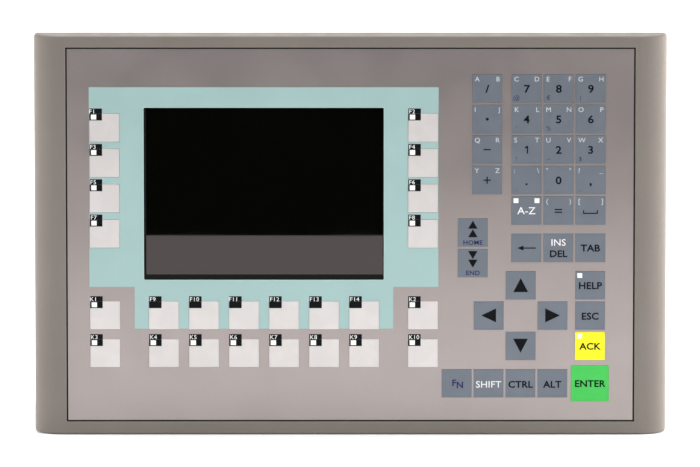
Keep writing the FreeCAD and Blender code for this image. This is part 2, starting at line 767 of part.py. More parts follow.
def card_slot():
    """Memory card holder, its mouth just inside the housing's side wall."""
    x1 = right_outer_x - card_inset
    x0 = x1 - card_length
    y0, y1 = board_back_y, board_back_y + card_depth
    body = block(x0, x1, y0, y1, *across(card_z, card_width))
    mouth = block(x0 + card_end_wall, x1 + 1, *across((y0 + y1) / 2, card_mouth_depth),
                  *across(card_z, card_mouth))
    return body.cut(mouth)


# ---- rear housing -----------------------------------------------------------------------------------------

def turned(shape, side):
    """A shape made for the top wall, carried round to another wall."""
    turn = {"top": 0, "bottom": 180, "right": 90, "left": -90}[side]
    copy = shape.copy()
    copy.rotate(Vector(0, 0, 0), Vector(0, 1, 0), turn)
    return copy


def clip_places():
    """(side, offset along the wall, distance of the wall from the middle) for every clip."""
    high, wide = housing_height / 2, housing_width / 2
    places = [("top", x, high) for x in top_clips]
    places += [("bottom", -x, high) for x in bottom_clips]
    places += [(side, z, wide) for side in ("left", "right") for z in side_clips]
    return places


def clip_slots():
    slots = []
    y0, y1 = hook_y - fit_gap, hook_y + hook_thickness + fit_gap
    for side, along, out in clip_places():
        slot = block(*across(along, hook_width, -fit_gap), y0, y1, out - housing_wall - 1, out + 1)
        slots.append(turned(slot, side))
    return slots


def wall_vents(low_x, high_x, clips, z0, z1):
    """Upright slots from low_x to high_x in the top or bottom wall, clear of its clips."""
    y1 = inner_rear_y - vent_from_rear
    y0 = y1 - vent_length
    count = math.floor(housing_width / 2 / vent_pitch)
    places = [n * vent_pitch for n in range(-count, count + 1)]
    clear = [x for x in places if low_x <= x <= high_x and min(abs(x - c) for c in clips) > clip_width]
    return [block(*across(x, vent_width), y0, y1, z0, z1) for x in clear]


def vents():
    """Cooling slots in the top and bottom walls and two fields of them in the rear face."""
    high = housing_height / 2
    through = housing_wall + 1
    slots = wall_vents(-vent_reach, vent_reach, top_clips, high - through, high + 1)
    slots += wall_vents(low_vent_start, low_vent_end, bottom_clips, -high - 1, -high + through)
    y0, y1 = inner_rear_y - 1, housing_depth + 1
    for n in range(rear_vent_rows):
        z = rear_vent_top_z - n * vent_pitch
        slots += [plate(x, z, rear_vent_length, vent_width, y0, y1) for x in rear_vent_x]
    return slots


def port_holes():
    """Openings in the bottom wall and the side wall, one round each socket."""
    y0, low = board_back_y - socket_gap, bottom_outer_z
    sockets = ((power_x, power_width, power_depth), (serial_x, serial_width, serial_depth),
               (ethernet_x, ethernet_width, ethernet_depth), (usb_x, usb_width, usb_depth))
    holes = [block(*across(x, width, -socket_gap), y0, board_back_y + depth + socket_gap, low - 1,
                   low + housing_wall + 1) for x, width, depth in sockets]
    card_y1 = board_back_y + card_depth + socket_gap
    card = block(right_outer_x - housing_wall - 1, right_outer_x + 1, y0, card_y1,
                 *across(card_z, card_width, -socket_gap))
    return [*holes, card]


def earth_stud():
    """Threaded stud under the housing, with the collar that a ring lug sits against."""
    y = board_back_y + power_depth / 2
    root_z = bottom_outer_z + 1
    stud = down(stud_x, y, root_z, stud_radius, stud_length + 1)
    return [stud, down(stud_x, y, root_z, stud_collar * stud_radius, stud_collar_length + 1)]


def rear_housing():
    outer = plate(0, 0, housing_width, housing_height, plate_back_y, housing_depth, housing_corner)
    outer = outer.makeFillet(housing_rear_round, edges_at(outer, "y", housing_depth))
    inner = plate(0, 0, housing_width - 2 * housing_wall, housing_height - 2 * housing_wall, plate_back_y - 1,
                  inner_rear_y, housing_corner - housing_wall)
    y0, y1 = housing_depth - label_recess, housing_depth + 1
    label = plate(label_x, label_z, label_width, label_height, y0, y1, label_corner)
    holes = [rod(x, z, screw_bore, inner_rear_y - 1, housing_depth + 1) for x, z in pillar_places()]
    solid = outer.cut([inner, label, *port_holes(), *holes, *clip_slots(), *vents()])
    return fused([solid, *earth_stud()])


def cross_slot(shape, x, z, y0, y1, length):
    sizes = ((length, screw_slot_width), (screw_slot_width, length))
    return shape.cut([plate(x, z, width, height, y0, y1) for width, height in sizes])


def housing_screws():
    screws = []
    top = housing_depth + screw_head_height
    for x, z in pillar_places():
        shank = rod(x, z, screw_radius - thread_gap, inner_rear_y - screw_length + 1, housing_depth)
        head = rod(x, z, screw_head_radius, housing_depth, top)
        head = head.makeFillet(screw_head_round, edges_at(head, "y", top))
        screw = fused([shank, head])
        screws.append(cross_slot(screw, x, z, top - screw_slot_depth, top + 1, screw_slot_length))
    return Part.makeCompound(screws)


# ---- clips ----------------------------------------------------------------------------------------------

def clip(along, out):
    """Block on the housing wall with a hook through the slot, bored for its screw."""
    base, end = out + fit_gap, out + clip_reach
    body = block(*across(along, clip_width), clip_y, clip_y + clip_depth, base, end)
    body = body.makeFillet(clip_round, edges_at(body, "z", end))
    hook = block(*across(along, hook_width), hook_y, hook_y + hook_thickness, out - hook_length, base)
    bore = rod(along, out + clip_screw_out, clip_screw_bore, 0, housing_depth)
    return fused([body, hook]).cut(bore)


def clip_screw(along, out):
    """Set screw with a pressure pad at the door side and a slot at the other."""
    z = out + clip_screw_out
    end_y = screw_tip_y + clip_screw_length
    pad = rod(along, z, clip_pad_radius, screw_tip_y, screw_tip_y + clip_pad_height)
    shank = rod(along, z, clip_screw_radius, screw_tip_y + clip_pad_height, end_y)
    slot = plate(along, z, 2 * clip_screw_radius + 1, screw_slot_width, end_y - screw_slot_depth, end_y + 1)
    return fused([pad, shank]).cut(slot)


def on_walls(make):
    """What make draws for the top wall, at every clip's place."""
    return Part.makeCompound([turned(make(along, out), side) for side, along, out in clip_places()])


SUB_PARTS = {
    "front_frame": front_frame,
    "keypad_overlay": keypad_overlay,
    "display_window": display_window,
    "label_strips": label_strips,
    "snap_domes": snap_domes,
    "keypad_board": keypad_board,
    "seals": seals,
    "lcd_frame": lcd_frame,
    "lcd_glass": lcd_glass,
    "backlight_unit": backlight_unit,
    "inverter_board": inverter_board,
    "support_plate": support_plate,
    "main_board": main_board,
    "power_terminal": power_terminal,
    "serial_port": serial_port,
    "ethernet_port": ethernet_port,
    "usb_port": usb_port,
    "card_slot": card_slot,
    "rear_housing": rear_housing,
    "housing_screws": housing_screws,
}


def main():
    os.makedirs("parts", exist_ok=True)
    for name, make in SUB_PARTS.items():
        save(name, make())
    save("mounting_clips", on_walls(clip))
    save("clip_screws", on_walls(clip_screw))
    for name, (x, z) in SYSTEM_KEYS.items():
        save(name, system_key(x, z, size_of(name)))
    save("f_keys", soft_keys(F_KEYS))
    save("k_keys", soft_keys(K_KEYS))


main()
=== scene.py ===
"""Looks of the panel-mount operator panel: prints, legends, lamps, rear label, finishes, floor, light, camera.

Metres, in the frame's own axes: X to the right of the operator, Z up, Y into the cabinet.
"""
import math

import bpy
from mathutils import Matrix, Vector


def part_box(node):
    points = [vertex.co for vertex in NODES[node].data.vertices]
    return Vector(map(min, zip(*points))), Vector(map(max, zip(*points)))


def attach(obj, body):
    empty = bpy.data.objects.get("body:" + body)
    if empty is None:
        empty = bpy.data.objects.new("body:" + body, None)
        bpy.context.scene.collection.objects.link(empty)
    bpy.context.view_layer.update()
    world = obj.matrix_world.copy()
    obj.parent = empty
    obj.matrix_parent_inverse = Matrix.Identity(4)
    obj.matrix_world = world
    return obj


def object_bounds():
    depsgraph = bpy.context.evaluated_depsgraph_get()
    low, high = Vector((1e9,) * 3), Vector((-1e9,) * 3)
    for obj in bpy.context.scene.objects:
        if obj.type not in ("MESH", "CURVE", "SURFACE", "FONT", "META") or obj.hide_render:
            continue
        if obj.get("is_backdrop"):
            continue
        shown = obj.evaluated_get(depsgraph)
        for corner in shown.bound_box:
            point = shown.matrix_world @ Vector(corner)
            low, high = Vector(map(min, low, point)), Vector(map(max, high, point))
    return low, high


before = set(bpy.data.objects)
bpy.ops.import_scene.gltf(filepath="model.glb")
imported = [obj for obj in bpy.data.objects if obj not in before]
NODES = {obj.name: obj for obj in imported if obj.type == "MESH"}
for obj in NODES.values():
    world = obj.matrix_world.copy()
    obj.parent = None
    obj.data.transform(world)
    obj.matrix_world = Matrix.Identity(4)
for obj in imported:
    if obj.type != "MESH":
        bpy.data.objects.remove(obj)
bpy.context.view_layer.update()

MM = 0.001

# ---- sizes --------------------------------------------------------------------------------------------

print_thickness = 0.03 * MM
legend_lift = 0.012 * MM       # legends stand this far off what they are printed on
legend_thickness = 0.01 * MM
tag_size = 6.1 * MM            # black square with a function key's name
tag_above = 2.6 * MM           # how far it reaches above the key
name_height = 2.2 * MM
name_inset = 0.35 * MM
lamp_width = 2.6 * MM
lamp_height = 2.5 * MM
lamp_from_left = 0.7 * MM
lamp_from_top = 3.1 * MM
corner_lamp = 2.4 * MM         # lamp windows on the system keys
corner_lamp_inset = 0.9 * MM
letter_height = 2.5 * MM       # letters in the corners of the number keys
letter_inset = 1.0 * MM
letter_side_inset = 1.15 * MM
font_capital = 0.729           # height of the built-in font's capitals, as a part of its size
pane_border = 2.0 * MM - 0.3 * MM   # from the pane's edge to the opening in the foil
mask_left = 1.2 * MM           # dark border printed on the display pane
mask_bottom = 2.6 * MM
mask_other = 0.5 * MM

camera_elevation = math.radians(18.1)
camera_distance = 9.5
view_width = 341.5 * MM
view_centre_x = -0.2 * MM
view_centre_up = -0.85 * MM
sensor_width = 36.0

floor_drop = 0.3 * MM
bright_floor = 0.312           # the display mirrors a floor that is bright up to here in front of it,
card_reach = 0.27              # and dark beyond, this far to each side


# ---- shader helpers -----------------------------------------------------------------------------------

class Shader:
    """A node material, built up one step at a time around a Principled BSDF."""

    def __init__(self, name, colour, roughness, metallic=0.0, **sockets):
        self.material = bpy.data.materials.new(name)
        self.material.use_nodes = True
        self.nodes = self.material.node_tree.nodes
        self.links = self.material.node_tree.links
        self.bsdf = self.nodes["Principled BSDF"]
        self.material.diffuse_color = (*colour, 1.0)
        self.colour = None
        self.base = (*colour, 1.0)
        self.set("Base Color", self.base)
        self.set("Roughness", roughness)
        self.set("Metallic", metallic)
        for socket, value in sockets.items():
            self.set(socket.replace("_", " ").title().replace("Ior", "IOR"), value)
        self.place = self.nodes.new("ShaderNodeTexCoord").outputs["Object"]
        self.normal = None

    def set(self, socket, value):
        self.bsdf.inputs[socket].default_value = value

    def stretched(self, stretch):
        node = self.nodes.new("ShaderNodeMapping")
        node.inputs["Scale"].default_value = stretch
        self.links.new(self.place, node.inputs["Vector"])
        return node.outputs["Vector"]

    def noise(self, size, detail=4.0, rough=0.55, stretch=(1, 1, 1)):
        """Noise whose features are about size metres across."""
        node = self.nodes.new("ShaderNodeTexNoise")
        node.inputs["Scale"].default_value = 1.0 / size
        node.inputs["Detail"].default_value = detail
        node.inputs["Roughness"].default_value = rough
        self.links.new(self.stretched(stretch), node.inputs["Vector"])
        return node.outputs["Fac"]

    def ramp(self, value, low, high, out_low=0.0, out_high=1.0):
        node = self.nodes.new("ShaderNodeMapRange")
        node.interpolation_type = "SMOOTHSTEP"
        for socket, number in (("From Min", low), ("From Max", high), ("To Min", out_low), ("To Max", out_high)):
            node.inputs[socket].default_value = number
        self.links.new(value, node.inputs["Value"])
        return node.outputs["Result"]

    def blend(self, mask, colour, amount=1.0):
        """Carries colour over what is there so far, where mask is 1."""
        node = self.nodes.new("ShaderNodeMix")
        node.data_type = "RGBA"
        scaled = self.nodes.new("ShaderNodeMath")
        scaled.operation = "MULTIPLY"
        scaled.inputs[1].default_value = amount
        self.links.new(mask, scaled.inputs[0])
        self.links.new(scaled.outputs[0], node.inputs["Factor"])
        if self.colour is None:
            node.inputs["A"].default_value = self.base
        else:
            self.links.new(self.colour, node.inputs["A"])
        node.inputs["B"].default_value = (*colour, 1.0)
        self.colour = node.outputs["Result"]
        self.links.new(self.colour, self.bsdf.inputs["Base Color"])
        return self

    def vary_roughness(self, value, low, high):
        self.links.new(self.ramp(value, 0.3, 0.7, low, high), self.bsdf.inputs["Roughness"])
        return self

    def bump(self, height, distance, strength=1.0):
        node = self.nodes.new("ShaderNodeBump")
        node.inputs["Distance"].default_value = distance
        node.inputs["Strength"].default_value = strength
        self.links.new(height, node.inputs["Height"])
        if self.normal is not None:
            self.links.new(self.normal, node.inputs["Normal"])
        self.normal = node.outputs["Normal"]
        self.links.new(self.normal, self.bsdf.inputs["Normal"])
        return self

    def edges(self, radius=0.0006):
        """1 on sharp edges, where handling wears a finish and where a painted highlight is laid."""
        bevel = self.nodes.new("ShaderNodeBevel")
        bevel.inputs["Radius"].default_value = radius
        bevel.samples = 4
        geometry = self.nodes.new("ShaderNodeNewGeometry")
        dot = self.nodes.new("ShaderNodeVectorMath")
        dot.operation = "DOT_PRODUCT"
        self.links.new(bevel.outputs["Normal"], dot.inputs[0])
        self.links.new(geometry.outputs["Normal"], dot.inputs[1])
        return self.ramp(dot.outputs["Value"], 0.995, 0.90)


def shade(tone, factor):
    return tuple(min(1.0, c * factor) for c in tone)


# ---- materials ----------------------------------------------------------------------------------------

FRONT = (0.180, 0.157, 0.137)
FOIL = (0.335, 0.293, 0.284)
TURQUOISE = (0.325, 0.485, 0.473)
KEY = (0.144, 0.165, 0.198)
LABEL = (0.62, 0.59, 0.58)
YELLOW = (0.91, 0.88, 0.007)
GREEN = (0.050, 0.52, 0.082)
INK = (0.004, 0.0045, 0.006)
BLUE_INK = (0.020, 0.022, 0.095)
WHITE_INK = (0.80, 0.80, 0.80)
SOFT_WHITE_INK = (0.56, 0.58, 0.60)
PALE_LINE = (0.50, 0.66, 0.64)
STEEL = (0.36, 0.36, 0.355)


def front_paint():
    """Satin powder paint on the casting: orange peel, fine speckle, and edges lighter, partly as rubbed paint and
    partly as a painted highlight.
    """
    s = Shader("front_paint", FRONT, 0.42, specular_ior_level=0.5)
    speckle = s.noise(0.5 * MM, 2.0)
    s.blend(s.ramp(speckle, 0.52, 0.72), shade(FRONT, 1.16), 0.6)
    s.blend(s.ramp(speckle, 0.46, 0.30), shade(FRONT, 0.86), 0.5)
    s.blend(s.ramp(s.noise(60 * MM, 3.0), 0.45, 0.62), shade(FRONT, 1.07), 0.6)
    # sharp edges lighter: rubbed paint, and a painted highlight where the lip catches the light
    s.blend(s.edges(), shade(FRONT, 1.5), 0.45)
    s.vary_roughness(s.noise(8 * MM), 0.37, 0.50)
    s.bump(s.noise(1.1 * MM, 2.0), 0.012 * MM)
    return s.bump(s.noise(0.28 * MM, 2.0), 0.004 * MM).material


def foil_print():
    """Metallic grey print under a finely grained polyester face."""
    s = Shader("foil_print", FOIL, 0.36, metallic=0.68, specular_ior_level=0.6)
    s.blend(s.ramp(s.noise(0.35 * MM, 3.0), 0.50, 0.70), shade(FOIL, 1.12), 0.5)
    s.blend(s.ramp(s.noise(45 * MM, 4.0), 0.42, 0.66), shade(FOIL, 1.05), 0.7)
    s.vary_roughness(s.noise(25 * MM), 0.33, 0.39)
    return s.bump(s.noise(0.22 * MM, 2.0), 0.003 * MM).material


def turquoise_print():
    s = Shader("turquoise_print", TURQUOISE, 0.40, metallic=0.12, specular_ior_level=0.45)
    s.blend(s.ramp(s.noise(40 * MM, 4.0), 0.40, 0.65), shade(TURQUOISE, 1.05), 0.8)
    s.blend(s.ramp(s.noise(0.35 * MM, 2.0), 0.52, 0.72), shade(TURQUOISE, 1.06), 0.5)
    s.vary_roughness(s.noise(20 * MM), 0.37, 0.45)
    return s.bump(s.noise(0.22 * MM, 2.0), 0.003 * MM).material


def key_face(name, colour, sheen=0.22, spread=1.08):
    """A printed key: the foil's fine grain, with a painted highlight that leaves the edges lighter and the middle a
    little darker.
    """
    s = Shader(name, colour, 0.38, metallic=sheen, specular_ior_level=0.3)
    s.blend(s.ramp(s.noise(9 * MM, 3.0), 0.40, 0.68), shade(colour, spread), 0.7)
    s.blend(s.ramp(s.noise(0.3 * MM, 2.0), 0.52, 0.74), shade(colour, 1.10), 0.5)
    # painted highlight along the key's edges
    s.blend(s.edges(0.0004), shade(colour, 1.35), 0.5)
    s.vary_roughness(s.noise(6 * MM), 0.33, 0.44)
    return s.bump(s.noise(0.22 * MM, 2.0), 0.003 * MM).material


def label_window():
    """Clear window over a paper label: paper fibres under a glossy face."""
    s = Shader("label_window", LABEL, 0.34, metallic=0.18, specular_ior_level=0.3)
    s.blend(s.ramp(s.noise(9 * MM, 2.0), 0.42, 0.66), shade(LABEL, 1.05), 0.8)
    s.blend(s.ramp(s.noise(0.25 * MM, 2.0, stretch=(1, 1, 2.5)), 0.5, 0.75), shade(LABEL, 0.97), 0.5)
    s.vary_roughness(s.noise(12 * MM, 1.0), 0.30, 0.38)
    return s.bump(s.noise(0.3 * MM, 1.0), 0.001 * MM).material


def display_pane():
    """Hard-coated pane over a dark, switched-off display."""
    s = Shader("display_pane", (0.0016, 0.0018, 0.0010), 0.018, specular_ior_level=0.62)
    s.set("Specular Tint", (1.0, 0.87, 0.87, 1.0))
    s.blend(s.ramp(s.noise(90 * MM, 2.0), 0.45, 0.70), (0.0026, 0.0024, 0.0016), 0.8)
    s.vary_roughness(s.noise(30 * MM, 5.0), 0.012, 0.028)
    return s.bump(s.noise(60 * MM, 1.0), 0.010 * MM).material


def pane_mask():
    s = Shader("pane_mask", (0.004, 0.006, 0.005), 0.45, specular_ior_level=0.1)
    s.blend(s.ramp(s.noise(0.4 * MM), 0.5, 0.7), (0.008, 0.010, 0.009), 0.6)
    return s.bump(s.noise(0.3 * MM), 0.003 * MM).material


def ink(name, colour, specular=0.3):
    """Screen-printed legend: slightly raised, edges a touch uneven in density."""
    s = Shader(name, colour, 0.55, specular_ior_level=specular)
    s.blend(s.ramp(s.noise(0.6 * MM, 3.0), 0.45, 0.72), shade(colour, 1.25), 0.4)
    return s.bump(s.noise(0.15 * MM, 2.0), 0.002 * MM).material


def lamp_face():
    s = Shader("lamp_face", (0.90, 0.91, 0.88), 0.28, specular_ior_level=0.5)
    s.blend(s.ramp(s.noise(1.2 * MM), 0.45, 0.7), (0.80, 0.82, 0.80), 0.5)
    return s.bump(s.noise(0.3 * MM), 0.002 * MM).material


def sheet_steel():
    """Galvanised sheet: soft crystal patches, rolling lines, and brighter bends."""
    s = Shader("sheet_steel", STEEL, 0.38, metallic=0.92)
    patches = s.nodes.new("ShaderNodeTexVoronoi")
    patches.feature = "SMOOTH_F1"
    patches.inputs["Scale"].default_value = 1.0 / (9 * MM)
    s.links.new(s.place, patches.inputs["Vector"])
    s.blend(s.ramp(patches.outputs["Distance"], 0.25, 0.75), shade(STEEL, 0.84), 0.7)
    s.blend(s.ramp(s.noise(3 * MM, 4.0, stretch=(0.12, 1, 1)), 0.45, 0.7), shade(STEEL, 1.14), 0.5)
    s.blend(s.edges(0.0008), shade(STEEL, 1.35), 0.6)
    s.vary_roughness(s.noise(6 * MM), 0.30, 0.46)
    return s.bump(s.noise(0.5 * MM, 3.0, stretch=(0.2, 1, 1)), 0.006 * MM).material


def bare_metal(name, colour, roughness, grain=(1, 1, 1)):
    s = Shader(name, colour, roughness, metallic=1.0)
    s.blend(s.ramp(s.noise(1.5 * MM, 4.0), 0.45, 0.72), shade(colour, 0.80), 0.6)
    s.blend(s.edges(0.0004), shade(colour, 1.3), 0.6)
    s.vary_roughness(s.noise(1.0 * MM), roughness - 0.07, roughness + 0.10)
    return s.bump(s.noise(0.25 * MM, 3.0, stretch=grain), 0.006 * MM).material


def moulded(name, colour, roughness=0.5):
    """Moulded plastic with a spark-eroded grain."""
    s = Shader(name, colour, roughness, specular_ior_level=0.5)
    s.blend(s.ramp(s.noise(5 * MM), 0.42, 0.68), shade(colour, 1.18), 0.5)
    s.blend(s.edges(0.0003), shade(colour, 1.5), 0.4)
    s.vary_roughness(s.noise(2 * MM), roughness - 0.07, roughness + 0.08)
    return s.bump(s.noise(0.3 * MM, 3.0), 0.010 * MM).material


def circuit_board():
    """Green solder resist over copper tracks."""
    s = Shader("circuit_board", (0.012, 0.075, 0.035), 0.32, specular_ior_level=0.5)
    tracks = s.nodes.new("ShaderNodeTexBrick")
    tracks.inputs["Scale"].default_value = 1.0 / (8 * MM)
    tracks.inputs["Mortar Size"].default_value = 0.06
    s.links.new(s.stretched((1, 1, 1)), tracks.inputs["Vector"])
    s.blend(tracks.outputs["Fac"], (0.03, 0.14, 0.06), 0.8)
    s.blend(s.ramp(s.noise(20 * MM), 0.45, 0.6), (0.02, 0.10, 0.045), 0.6)
    return s.bump(tracks.outputs["Fac"], 0.02 * MM).material


def rubber():
    s = Shader("seal_rubber", (0.018, 0.018, 0.019), 0.72, specular_ior_level=0.35)
    s.blend(s.ramp(s.noise(4 * MM, 4.0), 0.48, 0.70), (0.045, 0.045, 0.045), 0.5)
    return s.bump(s.noise(0.4 * MM, 4.0), 0.02 * MM).material


def sealant():
    """Dark, dull fill with a faint skin: painted shade standing in for the shadow in the groove round the foil."""
    s = Shader("painted_groove_shade", (0.010, 0.010, 0.011), 0.8, specular_ior_level=0.1)
    s.blend(s.ramp(s.noise(3 * MM, 3.0), 0.45, 0.70), (0.020, 0.019, 0.019), 0.6)
    return s.bump(s.noise(0.6 * MM, 3.0), 0.010 * MM).material


def rating_label():
    s = Shader("rating_label", (0.62, 0.63, 0.64), 0.34, metallic=0.35)
    s.blend(s.ramp(s.noise(2 * MM, 4.0, stretch=(0.1, 1, 1)), 0.42, 0.7), (0.72, 0.73, 0.74), 0.6)
    return s.bump(s.noise(0.3 * MM, 3.0, stretch=(0.1, 1, 1)), 0.003 * MM).material


M = {
    "front": front_paint(),
    "foil": foil_print(),
    "turquoise": turquoise_print(),
    "key": key_face("key_face", KEY),
    "yellow": key_face("key_yellow", YELLOW, 0.0, 1.0),
    "green": key_face("key_green", GREEN, 0.0, 1.06),
    "label": label_window(),
    "pane": display_pane(),
    "mask": pane_mask(),
    "ink": ink("ink_black", INK, 0.08),
    "blue": ink("ink_blue", BLUE_INK, 0.15),
    "white": ink("ink_white", WHITE_INK),
    "soft_white": ink("ink_soft_white", SOFT_WHITE_INK),
    "pale_line": ink("ink_pale_line", PALE_LINE),
    "lamp": lamp_face(),
    "sheet": sheet_steel(),
    "zinc": bare_metal("zinc_screw", (0.60, 0.60, 0.58), 0.28),
    "cast": bare_metal("cast_metal", (0.42, 0.43, 0.44), 0.42),
    "shell": bare_metal("plated_shell", (0.62, 0.61, 0.58), 0.24, (0.3, 1, 1)),
    "black": moulded("black_plastic", (0.016, 0.016, 0.018)),
    "terminal": moulded("terminal_plastic", (0.022, 0.17, 0.06)),
    "paper": moulded("strip_paper", (0.72, 0.70, 0.66), 0.8),
    "clear": moulded("light_guide", (0.80, 0.81, 0.80), 0.2),
    "board": circuit_board(),
    "rubber": rubber(),
    "sealant": sealant(),
    "rating": rating_label(),
}

FINISH = {
    "front_frame": "front", "keypad_overlay": "foil", "display_window": "pane", "label_strips": "paper",
    "snap_domes": "shell", "keypad_board": "board", "seals": "rubber", "lcd_frame": "shell",
    "lcd_glass": "pane", "backlight_unit": "clear", "inverter_board": "board", "support_plate": "sheet",
    "main_board": "board", "power_terminal": "terminal", "serial_port": "shell", "ethernet_port": "shell",
    "usb_port": "shell", "card_slot": "black", "rear_housing": "sheet", "housing_screws": "zinc",
    "mounting_clips": "cast", "clip_screws": "zinc", "f_keys": "label", "k_keys": "label",
    "key_acknowledge": "yellow", "key_enter": "green",
}
for node_name, node in NODES.items():
    node.data.materials.clear()
    node.data.materials.append(M[FINISH.get(node_name, "key")])


# ---- mesh helpers ---------------------------------------------------------------------------------------

def add(name, vertices, faces, finish, body, slot):
    """A new piece from vertices and faces, riding on a body."""
    mesh = bpy.data.meshes.new(name)
    mesh.from_pydata([tuple(v) for v in vertices], [], faces)
    mesh.validate()
    mesh.materials.append(M[finish])
    piece = bpy.data.objects.new(name, mesh)
    bpy.context.scene.collection.objects.link(piece)
    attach(piece, body)
    return piece


def prism(outline, y_front, y_back):
    """Vertices and faces of a flat outline in X and Z, given anticlockwise from the front, made solid."""
    count = len(outline)
    vertices = [(x, y, z) for y in (y_front, y_back) for x, z in outline]
    faces = [list(range(count)), list(range(2 * count - 1, count - 1, -1))]
    faces += [[i + count, (i + 1) % count + count, (i + 1) % count, i] for i in range(count)]
    return vertices, faces


def joined(parts):
    vertices, faces = [], []
    for some_vertices, some_faces in parts:
        start = len(vertices)
        vertices += some_vertices
        faces += [[i + start for i in face] for face in some_faces]
    return vertices, faces


def rectangle(x0, x1, z0, z1):
    return [(x0, z0), (x1, z0), (x1, z1), (x0, z1)]


def islands(node_name):
    """(lowest, highest) corner of each separate solid of a node, from the top row down and left to right."""
    mesh = NODES[node_name].data
    parent = list(range(len(mesh.vertices)))

    def root(i):
        while parent[i] != i:
            parent[i] = parent[parent[i]]
            i = parent[i]
        return i

    seen = {}
    for vertex in mesh.vertices:
        key = tuple(round(c, 6) for c in vertex.co)
        parent[vertex.index] = seen.setdefault(key, vertex.index)
    for edge in mesh.edges:
        parent[root(edge.vertices[0])] = root(edge.vertices[1])
    groups = {}
    for vertex in mesh.vertices:
        groups.setdefault(root(vertex.index), []).append(vertex.co)
    boxes = [(Vector(map(min, zip(*g))), Vector(map(max, zip(*g)))) for g in groups.values()]
    return sorted(boxes, key=lambda b: (-round(b[0].z, 3), b[0].x))


class Face:
    """The front face of a key: its middle, half its size and its plane, without the skirt behind the foil."""
    skirt = 0.4 * MM

    def __init__(self, low, high):
        self.x = (low.x + high.x) / 2
        self.z = (low.z + high.z) / 2
        self.half = (high.x - low.x) / 2 - self.skirt
        self.y = low.y


KEYS = {name: Face(*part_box(name)) for name in NODES if name.startswith("key_")}
F_FACES = [Face(*b) for b in islands("f_keys")]
K_FACES = [Face(*b) for b in islands("k_keys")]
low_foil, high_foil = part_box("keypad_overlay")
foil_y = low_foil.y


# ---- legends --------------------------------------------------------------------------------------------

def text_mesh(text, height, weight=0.0, spacing=1.0):
    """Outline of a text as a thin solid mesh centred on the origin, its capitals height metres tall."""
    curve = bpy.data.curves.new("text", "FONT")
    curve.body = text
    curve.size = height / font_capital
    curve.offset = weight * MM
    curve.space_character = spacing
    curve.extrude = legend_thickness / 2
    curve.resolution_u = 3
    curve.align_x = "CENTER"
    holder = bpy.data.objects.new("text", curve)
    bpy.context.scene.collection.objects.link(holder)
    bpy.context.view_layer.update()
    mesh = bpy.data.meshes.new_from_object(holder.evaluated_get(bpy.context.evaluated_depsgraph_get()))
    bpy.data.objects.remove(holder)
    vertices = [(v.co.x, v.co.z, v.co.y - height / 2) for v in mesh.vertices]
    faces = [list(reversed(p.vertices)) for p in mesh.polygons]
    bpy.data.meshes.remove(mesh)
    return vertices, faces


def moved(part, x, y, z):
    vertices, faces = part
    return [(a + x, b + y, c + z) for a, b, c in vertices], faces


def write(face, text, dx, dz, height, weight=0.0, spacing=1.0, stretch=1.0):
    """Text on a key's face, dx and dz from its middle."""
    vertices, faces = text_mesh(text, height, weight, spacing)
    return moved(([(x * stretch, y, z) for x, y, z in vertices], faces),
                 face.x + dx, face.y - legend_lift, face.z + dz)


def draw(face, outline):
    """A flat outline on a key's face, given around its middle."""
    y = face.y - legend_lift
    return prism([(face.x + x, face.z + z) for x, z in outline], y - legend_thickness, y + legend_thickness)


def triangle(width, height, dx=0.0, dz=0.0, turn=0):
    """A pointer, upwards before it is turned by quarter turns anticlockwise."""
    points = [(-width / 2, -height / 2), (width / 2, -height / 2), (0.0, height / 2)]
    for _ in range(turn):
        points = [(-z, x) for x, z in points]
    return [(x + dx, z + dz) for x, z in points]


def legend(name, finish, key, parts):
    """Parts of a key's legend as one piece that moves with the key."""
    add(f"legend_{name}", *joined(parts), finish, f"{key}_body", "key_plastic")


digit = 4.0 * MM
word = 3.5 * MM
bold = 0.125
digit_stretch = 1.08
slim = 0.02                    # how much white words are thickened: they look heavier than black ones


def corner_letters(name, left, right):
    face = KEYS[name]
    up = face.half - letter_inset - letter_height / 2
    parts = []
    for mark, side in ((left, -1), (right, 1)):
        half_width = max(x for x, _, _ in text_mesh(mark, letter_height)[0])
        reach = face.half - letter_side_inset - half_width
        parts.append(write(face, mark, side * reach, up, letter_height))
    legend(f"{name}_letters", "soft_white", name, parts)


def sign_low_left(name, mark):
    face = KEYS[name]
    reach = face.half - 2.2 * MM
    height = (2.4 if mark in "@€%" else 2.1) * MM
    legend(f"{name}_sign", "blue", name, [write(face, mark, -reach, -reach + 0.4 * MM, height)])


def number_keys():
    table = [
        ("key_divide", "/", "A", "B", ""), ("key_multiply", "", "I", "J", ""), ("key_minus", "", "Q", "R", ""),
        ("key_plus", "", "Y", "Z", ""), ("key_7", "7", "C", "D", "@"), ("key_8", "8", "E", "F", "€"),
        ("key_9", "9", "G", "H", "|"), ("key_4", "4", "K", "L", "'"), ("key_5", "5", "M", "N", "%"),
        ("key_6", "6", "O", "P", ""), ("key_1", "", "S", "T", "!"), ("key_2", "2", "U", "V", "~"),
        ("key_3", "3", "W", "X", "$"), ("key_point", ".", ":", "\\", "."), ("key_0", "0", "\"", "°", "."),
        ("key_comma", ",", "?", "_", ","), ("key_equals", "", "(", ")", ""),
    ]
    points = {".": 4.8 * MM, ",": 4.8 * MM}
    for name, main, left, right, sign in table:
        face = KEYS[name]
        size = points.get(main, digit)
        if main:
            legend(f"{name}_main", "ink", name, [write(face, main, 0.0, 0.0, size, bold, stretch=digit_stretch)])
        corner_letters(name, left, right)
        if sign:
            sign_low_left(name, sign)


